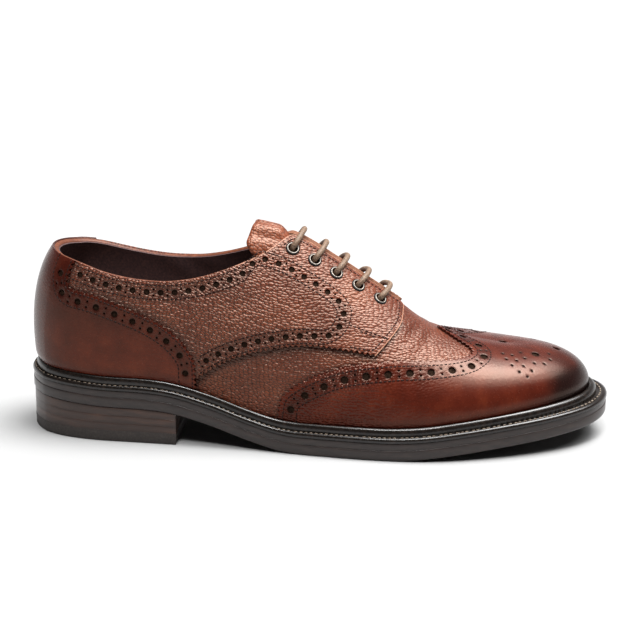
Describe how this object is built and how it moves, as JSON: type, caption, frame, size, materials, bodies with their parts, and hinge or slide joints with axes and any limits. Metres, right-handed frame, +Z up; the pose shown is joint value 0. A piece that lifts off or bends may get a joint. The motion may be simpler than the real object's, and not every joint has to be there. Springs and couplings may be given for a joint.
{
  "type": "brogue derby shoe",
  "caption": "Right brogue derby in red-brown calf: wing cap, punched holes, bar lacing, storm welt, double sole and stacked heel.",
  "frame": {"origin": "middle of the shoe's box on the floor, under the arch", "axes": "+X from the heel to the toe, +Y to the inner side of the foot, +Z up from the floor"},
  "size_m": [0.3052, 0.1076, 0.1086],
  "materials": {
    "grained_calf": "pebbled calf, soft sheen",
    "burnished_calf": "smooth burnished calf, polished",
    "insole_leather": "plain insole leather, matt",
    "welt_leather": "dark stained welt, satin",
    "sole_leather": "dark stained sole edge, satin",
    "heel_leather": "stacked leather lifts, dark stain",
    "heel_rubber": "moulded rubber top piece, matt",
    "eyelet_brass": "blackened brass, worn bright inside",
    "lace_cotton": "round waxed cotton lace"
  },
  "bodies": {
    "root": {"insole": "insole_leather", "upper": "grained_calf", "wing_cap": "burnished_calf", "counter": "burnished_calf", "quarter_outer": "grained_calf", "quarter_inner": "grained_calf", "tongue": "grained_calf", "welt": "welt_leather", "midsole": "sole_leather", "outsole": "sole_leather", "heel_lift_1": "heel_leather", "heel_lift_2": "heel_leather", "heel_lift_3": "heel_leather", "heel_top_piece": "heel_rubber", "eyelet_outer_1": "eyelet_brass", "eyelet_outer_2": "eyelet_brass", "eyelet_outer_3": "eyelet_brass", "eyelet_outer_4": "eyelet_brass", "eyelet_outer_5": "eyelet_brass", "eyelet_inner_1": "eyelet_brass", "eyelet_inner_2": "eyelet_brass", "eyelet_inner_3": "eyelet_brass", "eyelet_inner_4": "eyelet_brass", "eyelet_inner_5": "eyelet_brass", "lace_bar_1": "lace_cotton", "lace_bar_2": "lace_cotton", "lace_bar_3": "lace_cotton", "lace_bar_4": "lace_cotton", "lace_bar_5": "lace_cotton"}
  },
  "joints": []
}
